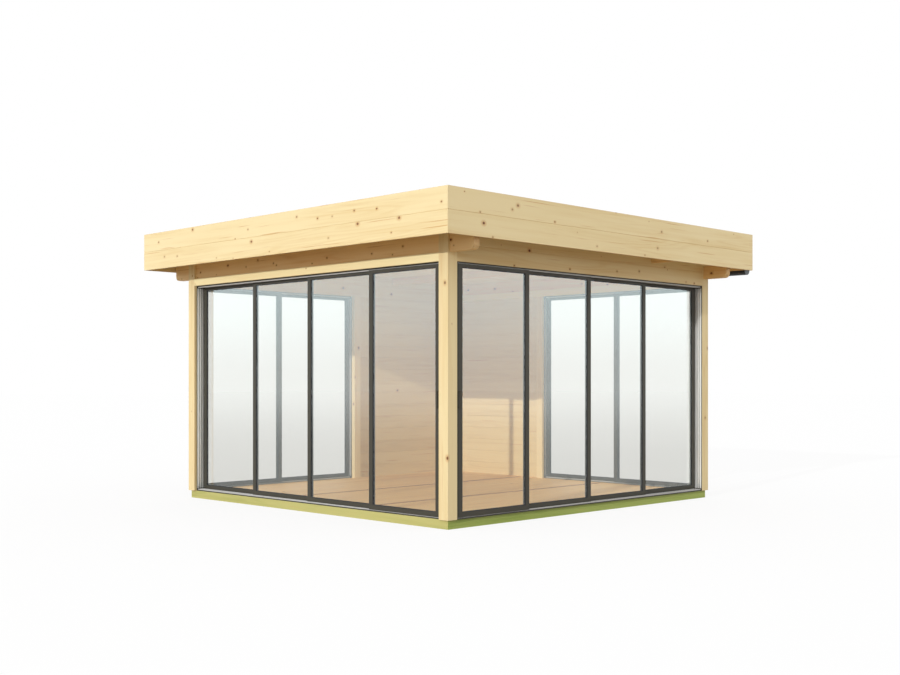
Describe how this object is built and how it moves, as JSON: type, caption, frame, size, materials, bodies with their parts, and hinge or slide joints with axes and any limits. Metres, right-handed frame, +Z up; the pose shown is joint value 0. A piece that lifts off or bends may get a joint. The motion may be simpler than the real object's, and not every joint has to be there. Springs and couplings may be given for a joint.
{
  "type": "log cabin",
  "caption": "Timber garden cabin with a deep-fascia pent roof, sliding glass doors on its walls, log walls at the back corner and a rear gutter.",
  "frame": {"origin": "on the ground at the middle of the plan", "axes": "+Z up, the front door wall looks towards -Y and the right door wall towards +X"},
  "size_m": [4.1, 4.1, 2.501],
  "materials": {
    "timber": "bare pine",
    "fascia": "bare pine",
    "base": "green treated",
    "floor": "bare pine",
    "door_frame": "anthracite powder coat",
    "rail": "mill",
    "glass": "clear",
    "roofing": "matt sheet",
    "gutter": "satin"
  },
  "bodies": {
    "root": {"base_beams": "base", "floor_joists": "timber", "floor": "floor", "front_left_post": "timber", "front_right_post": "timber", "back_left_post": "timber", "back_right_post": "timber", "left_end_post": "timber", "back_end_post": "timber", "left_log_wall": "timber", "back_log_wall": "timber", "front_header": "timber", "back_header": "timber", "left_gable": "timber", "right_gable": "timber", "front_top_beam": "timber", "back_top_beam": "timber", "purlins": "timber", "roof_boards": "timber", "roofing": "roofing", "front_fascia": "fascia", "left_fascia": "fascia", "right_fascia": "fascia", "eave_board": "timber", "gutter": "gutter", "gutter_brackets": "gutter", "front_door_frame": "door_frame", "right_door_frame": "door_frame", "left_door_frame": "door_frame", "back_door_frame": "door_frame", "running_rails": "rail", "front_leaf_fixed": "door_frame", "right_leaf_fixed": "door_frame", "left_leaf_fixed": "door_frame", "back_leaf_fixed": "door_frame", "fixed_glass": "glass"},
    "front_leaf_1": {"front_leaf_1": "door_frame", "front_glass_1": "glass"},
    "front_leaf_2": {"front_leaf_2": "door_frame", "front_glass_2": "glass"},
    "front_leaf_3": {"front_leaf_3": "door_frame", "front_glass_3": "glass"},
    "right_leaf_1": {"right_leaf_1": "door_frame", "right_glass_1": "glass"},
    "right_leaf_2": {"right_leaf_2": "door_frame", "right_glass_2": "glass"},
    "right_leaf_3": {"right_leaf_3": "door_frame", "right_glass_3": "glass"},
    "left_leaf": {"left_leaf": "door_frame", "left_glass": "glass"},
    "back_leaf": {"back_leaf": "door_frame", "back_glass": "glass"}
  },
  "joints": [
    {"name": "front_slide_1", "type": "slide", "parent": "root", "child": "front_leaf_1", "axis": [-1, 0, 0], "range_m": [0, 2.46075]},
    {"name": "front_slide_2", "type": "slide", "parent": "root", "child": "front_leaf_2", "axis": [-1, 0, 0], "range_m": [0, 1.6405]},
    {"name": "front_slide_3", "type": "slide", "parent": "root", "child": "front_leaf_3", "axis": [-1, 0, 0], "range_m": [0, 0.82025]},
    {"name": "right_slide_1", "type": "slide", "parent": "root", "child": "right_leaf_1", "axis": [0, 1, 0], "range_m": [0, 2.46075]},
    {"name": "right_slide_2", "type": "slide", "parent": "root", "child": "right_leaf_2", "axis": [0, 1, 0], "range_m": [0, 1.6405]},
    {"name": "right_slide_3", "type": "slide", "parent": "root", "child": "right_leaf_3", "axis": [0, 1, 0], "range_m": [0, 0.82025]},
    {"name": "left_slide", "type": "slide", "parent": "root", "child": "left_leaf", "axis": [0, 1, 0], "range_m": [0, 0.906]},
    {"name": "back_slide", "type": "slide", "parent": "root", "child": "back_leaf", "axis": [-1, 0, 0], "range_m": [0, 0.906]}
  ]
}
